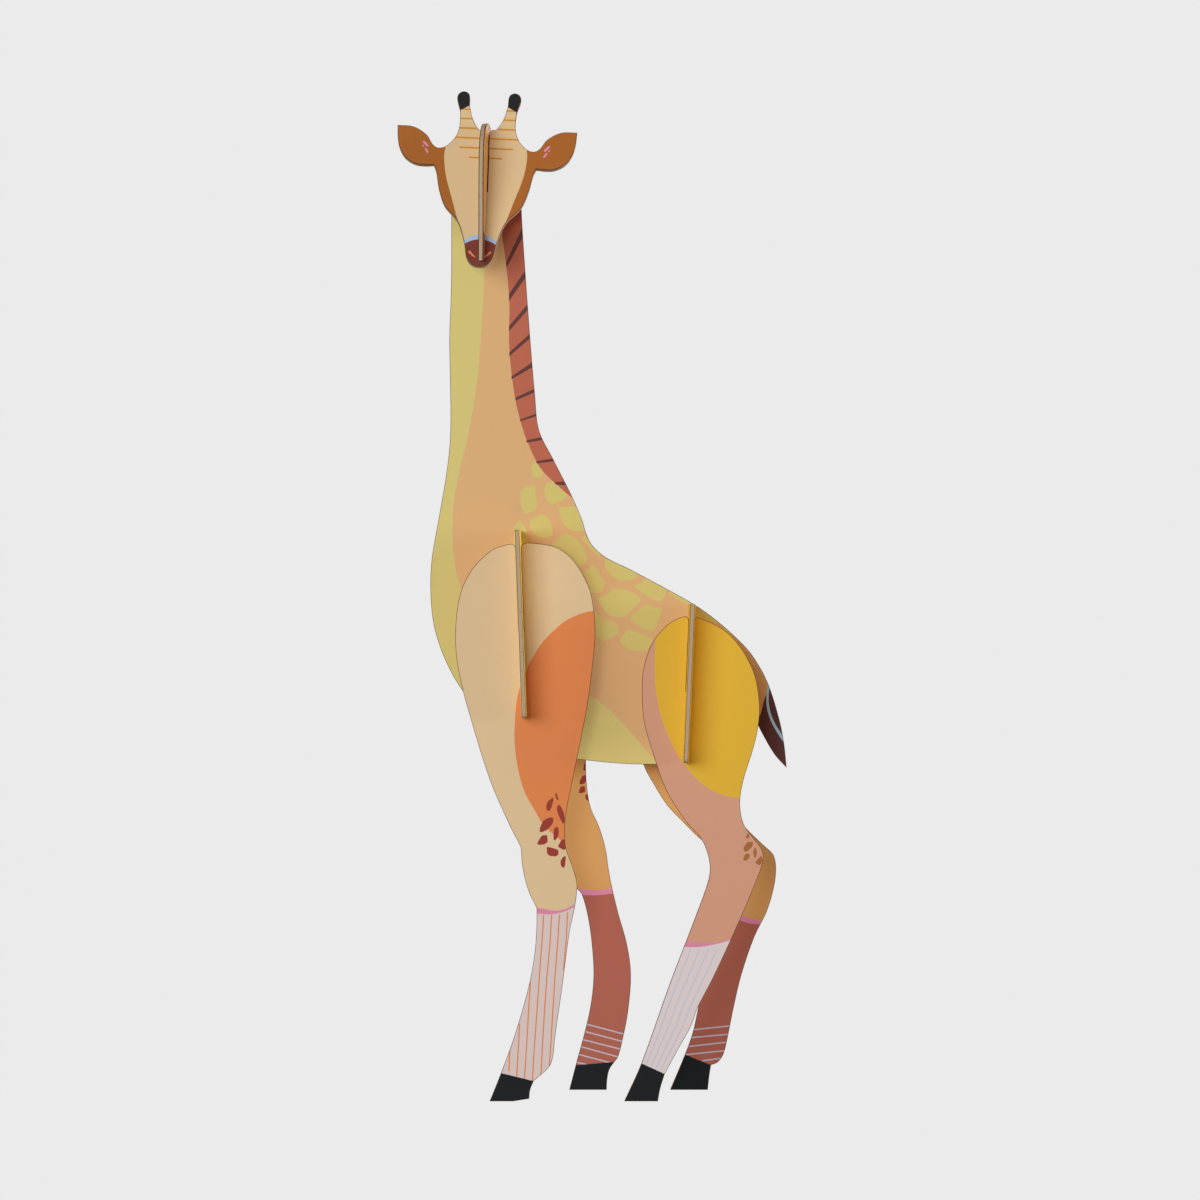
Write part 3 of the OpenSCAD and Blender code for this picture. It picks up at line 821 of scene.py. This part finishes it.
# Points closer than this are one point, in the model and in a drawing's millimetres
SAME_POINT = 0.001 * MM
SAME_DRAWN_POINT = 1e-4
# A face looks outwards when its normal agrees with the sheet's by this much
FACING = 0.99
# Keeps a sharp corner of an inset outline from running far inwards
MITRE_LIMIT = 0.35


def board_plane(node):
    """Unit normal of a flat piece, the height of its middle along it, and half its thickness."""
    mesh = NODES[node].data
    normal = max(mesh.polygons, key=lambda face: face.area).normal.normalized()
    heights = [vertex.co.dot(normal) for vertex in mesh.vertices]
    return normal, (min(heights) + max(heights)) / 2, (max(heights) - min(heights)) / 2


def outer_loop(node, outwards):
    """Corner points round the outer side of a sheet, in order."""
    mesh = bmesh.new()
    mesh.from_mesh(NODES[node].data)
    bmesh.ops.remove_doubles(mesh, verts=mesh.verts, dist=SAME_POINT)
    side = {face for face in mesh.faces if face.normal.dot(outwards) > FACING}
    ahead = {}
    for face in side:
        for corner in face.loops:
            if not any(other in side for other in corner.edge.link_faces if other is not face):
                ahead[corner.vert] = corner.link_loop_next.vert
    start = here = next(iter(ahead))
    loop = []
    while True:
        loop.append(here.co.copy())
        here = ahead[here]
        if here is start:
            break
    if len(loop) != len(ahead):
        raise RuntimeError(f"{node} has more than one outline on its outer side")
    mesh.free()
    return loop


class Sheet:
    """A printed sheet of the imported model, and the plane that its print is drawn in."""

    def __init__(self, node, core, origin, right, up):
        normal, middle, self.half = board_plane(node)
        core_middle = board_plane(core)[0].dot(normal) * board_plane(core)[1]
        self.out = normal if middle > core_middle else -normal
        self.node = node
        self.up = (up - self.out * up.dot(self.out)).normalized()
        self.right = self.up.cross(self.out)
        self.right *= math.copysign(1, self.right.dot(right))
        self.origin = origin
        self.top = max(vertex.co.dot(self.out) for vertex in NODES[node].data.vertices)
        self.turned = self.right.cross(self.up).dot(self.out) < 0
        self.outline = [self.flat(point) for point in outer_loop(node, self.out)]
        if area(self.outline) < 0:
            self.outline.reverse()

    def flat(self, point):
        away = point - self.origin
        return away.dot(self.right) / MM, away.dot(self.up) / MM

    def solid(self, point, depth):
        """The point of a drawing in the model, sunk by a depth below the sheet's face."""
        base = self.origin + self.right * point[0] * MM + self.up * point[1] * MM
        return base + self.out * (self.top - base.dot(self.out) - depth)


def area(loop):
    return sum(a[0] * b[1] - b[0] * a[1] for a, b in zip(loop, loop[1:] + loop[:1])) / 2


def inset(loop, width):
    """The loop moved inwards by a width; it runs anticlockwise."""
    made = []
    for before, here, after in zip(loop[-1:] + loop[:-1], loop, loop[1:] + loop[:1]):
        first = Vector((here[0] - before[0], here[1] - before[1])).normalized()
        second = Vector((after[0] - here[0], after[1] - here[1])).normalized()
        inwards = Vector((-first.y - second.y, first.x + second.x))
        reach = width / max(MITRE_LIMIT, inwards.length_squared / 2)
        made.append((here[0] + inwards.x * reach, here[1] + inwards.y * reach))
    return made


def paint_regions(rim, drawing):
    """Triangles that fill the rim, cut along the drawing's shapes, with the colour of each."""
    points, faces = [], []
    for loop in [rim] + [shape for _, shape in drawing.shapes]:
        ordered = loop if area(loop) > 0 else loop[::-1]
        faces.append(list(range(len(points), len(points) + len(ordered))))
        points += [Vector(point) for point in ordered]
    colours = [drawing.ground] + [colour for colour, _ in drawing.shapes]
    # The triangles can come in another order on another run; they are the same triangles
    places, _, triangles, _, _, covered = delaunay_2d_cdt(
        points, [], faces, 1, SAME_DRAWN_POINT, True)
    inside = [(list(t), colours[max(c)]) for t, c in zip(triangles, covered) if 0 in c]
    return places, inside


def rim_partner(point, rim, outline):
    """The point of the outline that lies outside a point of the rim, on the same edge."""
    best = None
    for i, (a, b) in enumerate(zip(rim, rim[1:] + rim[:1])):
        edge = Vector((b[0] - a[0], b[1] - a[1]))
        along = Vector((point[0] - a[0], point[1] - a[1]))
        share = min(1.0, max(0.0, along.dot(edge) / edge.length_squared))
        gap = (along - edge * share).length
        if best is None or gap < best[0]:
            best = (gap, i, share)
    _, i, share = best
    a, b = outline[i], outline[(i + 1) % len(outline)]
    return a[0] + (b[0] - a[0]) * share, a[1] + (b[1] - a[1]) * share


def lay_sheet(sheet, drawing_of, rim_ink=None):
    """A closed printed sheet with a rounded edge in place of its plain one."""
    drawing = drawing_of(sheet.outline)
    rim = inset(sheet.outline, sizes().edge_roll / MM)
    places, triangles = paint_regions(rim, drawing)
    used = sorted({i for corners, _ in triangles for i in corners})
    mesh = bmesh.new()
    face_points = {i: mesh.verts.new(sheet.solid(places[i], 0)) for i in used}
    names = ["sheet_edge"]
    edges = {}
    for corners, colour in triangles:
        if colour not in names:
            names.append(colour)
        ring = corners[::-1] if sheet.turned else corners
        face = mesh.faces.new([face_points[i] for i in ring])
        face.material_index = names.index(colour)
        for a, b in zip(corners, corners[1:] + corners[:1]):
            edges[a, b] = True
    ahead = {a: b for a, b in edges if (b, a) not in edges}
    start = here = next(iter(ahead))
    border = []
    while True:
        border.append(here)
        here = ahead[here]
        if here == start:
            break
    if len(border) != len(ahead):
        raise RuntimeError(f"the print of {sheet.node} has gaps")
    outer = [rim_partner(places[i], rim, sheet.outline) for i in border]
    dropped = [mesh.verts.new(sheet.solid(point, sizes().edge_drop)) for point in outer]
    bottom = [mesh.verts.new(sheet.solid(point, 2 * sheet.half)) for point in outer]
    count = len(border)
    for k in range(count):
        n = (k + 1) % count
        for low, high in (((dropped[k], dropped[n]),
                           (face_points[border[k]], face_points[border[n]])),
                          ((bottom[k], bottom[n]), (dropped[k], dropped[n]))):
            ring = [low[0], low[1], high[1], high[0]]
            mesh.faces.new(ring[::-1] if sheet.turned else ring)
    for corners in tessellate_polygon([[Vector((*point, 0)) for point in outer]]):
        ring = [bottom[i] for i in corners]
        flip = area([outer[i] for i in corners]) > 0
        mesh.faces.new(ring[::-1] if flip != sheet.turned else ring)
    data = bpy.data.meshes.new(sheet.node + "_sheet")
    mesh.to_mesh(data)
    mesh.free()
    piece = bpy.data.objects.new(sheet.node.replace("_print_", "_sheet_"), data)
    bpy.context.scene.collection.objects.link(piece)
    data.materials.append(printed_paper(rim_ink) if rim_ink else cut_paper())
    for name in names[1:]:
        data.materials.append(printed_paper(name))
    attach(piece, BODY_OF[sheet.node])
    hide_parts(sheet.node)
    return piece


X, Y, Z = Vector((1, 0, 0)), Vector((0, 1, 0)), Vector((0, 0, 1))
GROUND = Vector((0, 0, 0))


def upright_sheets(board, prints):
    """Sheets of a board that stands along the body."""
    for side, drawing_of in prints.items():
        lay_sheet(Sheet(f"{board}_print_{side}", board + "_core", GROUND, X, Z), drawing_of)


def face_frame():
    """Middle of the face and its directions across and up, from the tips of the ears."""
    normal = board_plane("face_core")[0]
    points = [vertex.co for vertex in NODES["face_print_front"].data.vertices]
    left, right = min(points, key=lambda p: p.x), max(points, key=lambda p: p.x)
    across = (right - left).normalized()
    up = normal.cross(across)
    up = (up if up.z > 0 else -up).normalized()
    return (left + right) / 2 - up * EAR_LINE * MM, across, up


class GIRAFFE_OT_trunk_sheets(Operator):
    """Lay both printed sheets on the board of the neck, trunk and tail"""
    bl_idname = "giraffe.trunk_sheets"
    bl_label = "Trunk sheets"

    def execute(self, context):
        upright_sheets("body", {"left": trunk_print, "right": trunk_print})
        return {"FINISHED"}


class GIRAFFE_OT_front_leg_sheets(Operator):
    """Lay the printed sheets on both front legs"""
    bl_idname = "giraffe.front_leg_sheets"
    bl_label = "Front leg sheets"

    def execute(self, context):
        upright_sheets("left_front_leg", {"outer": left_front_outer, "inner": left_front_inner})
        upright_sheets("right_front_leg", {"outer": right_front_outer, "inner": right_front_inner})
        return {"FINISHED"}


class GIRAFFE_OT_hind_leg_sheets(Operator):
    """Lay the printed sheets on both hind legs"""
    bl_idname = "giraffe.hind_leg_sheets"
    bl_label = "Hind leg sheets"

    def execute(self, context):
        upright_sheets("left_hind_leg", {"outer": left_hind_outer, "inner": left_hind_inner})
        upright_sheets("right_hind_leg", {"outer": right_hind_outer, "inner": right_hind_inner})
        return {"FINISHED"}


class GIRAFFE_OT_fin_sheets(Operator):
    """Lay the printed sheets on the shoulder fin and the hip fin"""
    bl_idname = "giraffe.fin_sheets"
    bl_label = "Fin sheets"

    def execute(self, context):
        for board, colour in (("shoulder_fin", "shoulder_yellow"), ("hip_fin", "hip_fin_yellow")):
            for side in ("front", "back"):
                sheet = Sheet(f"{board}_print_{side}", board + "_core", GROUND, Y, Z)
                lay_sheet(sheet, plain_print(colour), colour)
        return {"FINISHED"}


class GIRAFFE_OT_face_sheets(Operator):
    """Lay the printed sheets on the face with its ears and horns"""
    bl_idname = "giraffe.face_sheets"
    bl_label = "Face sheets"

    def execute(self, context):
        middle, across, up = face_frame()
        for side, drawing_of in (("front", face_print), ("back", plain_print("ear_brown"))):
            lay_sheet(Sheet("face_print_" + side, "face_core", middle, across, up), drawing_of)
        return {"FINISHED"}


class GIRAFFE_OT_ridge_sheets(Operator):
    """Lay the printed sheets on the ridge that joins the face to the neck"""
    bl_idname = "giraffe.ridge_sheets"
    bl_label = "Ridge sheets"

    def execute(self, context):
        middle, _, up = face_frame()
        for side in ("left", "right"):
            lay_sheet(Sheet("ridge_print_" + side, "ridge_core", middle, Y, up), ridge_print)
        return {"FINISHED"}


class GIRAFFE_OT_board_cores(Operator):
    """Give every board's core its grey fibres and dark glue lines"""
    bl_idname = "giraffe.board_cores"
    bl_label = "Board cores"

    def execute(self, context):
        for name, node in NODES.items():
            if name.endswith("_core"):
                normal, middle, half = board_plane(name)
                node.data.materials.clear()
                node.data.materials.append(grey_board(name, normal, middle, half))
        return {"FINISHED"}


# Lesser lamps: turn left of the camera and rise in degrees, distance and width in metres
FRONT_LAMP = (9, 6, 2.0, 0.35)
SIDE_LAMP = (-84, 5, 2.0, 0.8)
BACK_LAMP = (205, 30, 2.2, 1.4)
KEY_AWAY = 2.0
AIM_HEIGHT = 0.2
# The floor: radius of each ring, sides of a ring, and how far it lies below the hooves
FLOOR_RADII = (0.2, 1.0, 8.0, 60.0)
FLOOR_SIDES = 64
FLOOR_DROP = 0.1 * MM
# The camera, in millimetres where its own settings are
SENSOR_WIDTH = 36
LENS = 142.5
NEAR_CLIP = 0.05
CAMERA_ASIDE = 3.4 * MM


def lamp(name, turn, rise, away, size, power, aim):
    """A square soft light at a turn left of the camera's direction, aimed at a point."""
    data = bpy.data.lights.new(name, "AREA")
    data.shape = "SQUARE"
    data.size = size
    data.energy = power
    lamp_object = bpy.data.objects.new(name, data)
    towards = Vector((-math.sin(turn) * math.cos(rise), -math.cos(turn) * math.cos(rise),
                      math.sin(rise)))
    lamp_object.location = aim + towards * away
    lamp_object.rotation_euler = towards.to_track_quat("Z", "Y").to_euler()
    bpy.context.scene.collection.objects.link(lamp_object)
    return lamp_object


def let_through(lamp_object, board):
    """Keep a board from throwing this lamp's wide shadow over the trunk behind it."""
    group = bpy.data.collections.new(board + "_let_through")
    for piece in bpy.context.scene.objects:
        if piece.name.startswith(board):
            group.objects.link(piece)
    for member in group.collection_objects:
        member.light_linking.link_state = "EXCLUDE"
    lamp_object.light_linking.blocker_collection = group


def studio_world(colour, fill):
    """Even light from all round, on a pale background."""
    paint = Paint("studio", "worlds")
    seen = paint.node("ShaderNodeLightPath", output="Is Camera Ray")
    room = paint.node("ShaderNodeBackground", None,
                      {"Color": rgba(inks().fill_light), "Strength": fill})
    backdrop = paint.node("ShaderNodeBackground", None, {"Color": rgba(colour)})
    shown = paint.node("ShaderNodeMixShader", None, {0: seen, 1: room, 2: backdrop})
    paint.node("ShaderNodeOutputWorld", None, {"Surface": shown})
    bpy.context.scene.world = paint.made


def pale_floor(colour):
    """A wide round floor that shows one even colour and throws no light back."""
    mesh = bmesh.new()
    turns = [math.tau * k / FLOOR_SIDES for k in range(FLOOR_SIDES)]
    rings = [[mesh.verts.new((r * math.cos(a), r * math.sin(a), -FLOOR_DROP)) for a in turns]
             for r in FLOOR_RADII]
    mesh.faces.new(rings[0])
    for inner, outer in zip(rings, rings[1:]):
        for k in range(FLOOR_SIDES):
            n = (k + 1) % FLOOR_SIDES
            mesh.faces.new([inner[k], outer[k], outer[n], inner[n]])
    data = bpy.data.meshes.new("floor")
    mesh.to_mesh(data)
    mesh.free()
    floor = bpy.data.objects.new("floor", data)
    floor.visible_diffuse = False
    floor.visible_glossy = False
    bpy.context.scene.collection.objects.link(floor)
    paint = Paint("floor_pale")
    shader = paint.node("ShaderNodeBsdfPrincipled", None, {
        "Base Color": (0.0, 0.0, 0.0, 1.0), "Roughness": 1.0, "Specular IOR Level": 0.0,
        "Emission Color": rgba(colour), "Emission Strength": 1.0,
    })
    paint.node("ShaderNodeOutputMaterial", None, {"Surface": shader})
    data.materials.append(paint.made)


def studio_lamps():
    """The main light on the chest side, and three lesser ones beside, across and behind."""
    aim = Vector((0, 0, AIM_HEIGHT))
    key = lamp(
        "key", sizes().key_turn, sizes().key_rise, KEY_AWAY, sizes().key_size, sizes().key_power,
        aim,
    )
    key.data.color = inks().key_light
    let_through(key, "left_front_leg")
    for name, (turn, rise, away, size), power in (
        ("front", FRONT_LAMP, sizes().front_power),
        ("side", SIDE_LAMP, sizes().side_power),
        ("back", BACK_LAMP, sizes().back_power),
    ):
        lamp(name, math.radians(turn), math.radians(rise), away, size, power, aim)


def studio_camera():
    data = bpy.data.cameras.new("camera")
    data.sensor_width = SENSOR_WIDTH
    data.lens = LENS
    data.clip_start = NEAR_CLIP
    camera = bpy.data.objects.new("camera", data)
    camera.location = (CAMERA_ASIDE, -sizes().camera_distance, sizes().camera_height)
    camera.rotation_euler = (math.pi / 2, 0, 0)
    bpy.context.scene.collection.objects.link(camera)
    bpy.context.scene.camera = camera


class GIRAFFE_OT_studio(Operator):
    """Set up the pale floor, the soft light and the camera"""
    bl_idname = "giraffe.studio"
    bl_label = "Studio"

    def execute(self, context):
        pale_floor(inks().studio_pale)
        studio_world(inks().studio_pale, sizes().fill)
        studio_lamps()
        studio_camera()
        context.scene.view_settings.view_transform = "Standard"
        return {"FINISHED"}


OPERATORS = (
    GIRAFFE_OT_trunk_sheets, GIRAFFE_OT_front_leg_sheets, GIRAFFE_OT_hind_leg_sheets,
    GIRAFFE_OT_fin_sheets,
    GIRAFFE_OT_face_sheets, GIRAFFE_OT_ridge_sheets, GIRAFFE_OT_board_cores, GIRAFFE_OT_studio,
)


class GIRAFFE_PT_panel(Panel):
    """Steps of the finish, in order"""
    bl_label = "Giraffe"
    bl_idname = "GIRAFFE_PT_panel"
    bl_space_type = "VIEW_3D"
    bl_region_type = "UI"
    bl_category = "Giraffe"

    def draw(self, context):
        for operator in OPERATORS:
            self.layout.operator(operator.bl_idname)
        for group in (context.scene.giraffe_sizes, context.scene.giraffe_inks):
            for name in group.__annotations__:
                self.layout.prop(group, name)


CLASSES = (GiraffeInks, GiraffeSizes, *OPERATORS, GIRAFFE_PT_panel)


def register():
    for kind in CLASSES:
        bpy.utils.register_class(kind)
    bpy.types.Scene.giraffe_inks = PointerProperty(type=GiraffeInks)
    bpy.types.Scene.giraffe_sizes = PointerProperty(type=GiraffeSizes)


def unregister():
    del bpy.types.Scene.giraffe_sizes
    del bpy.types.Scene.giraffe_inks
    for kind in reversed(CLASSES):
        bpy.utils.unregister_class(kind)


def main():
    register()
    for operator in OPERATORS:
        group, name = operator.bl_idname.split(".")
        getattr(getattr(bpy.ops, group), name)()


if __name__ == "__main__":
    main()
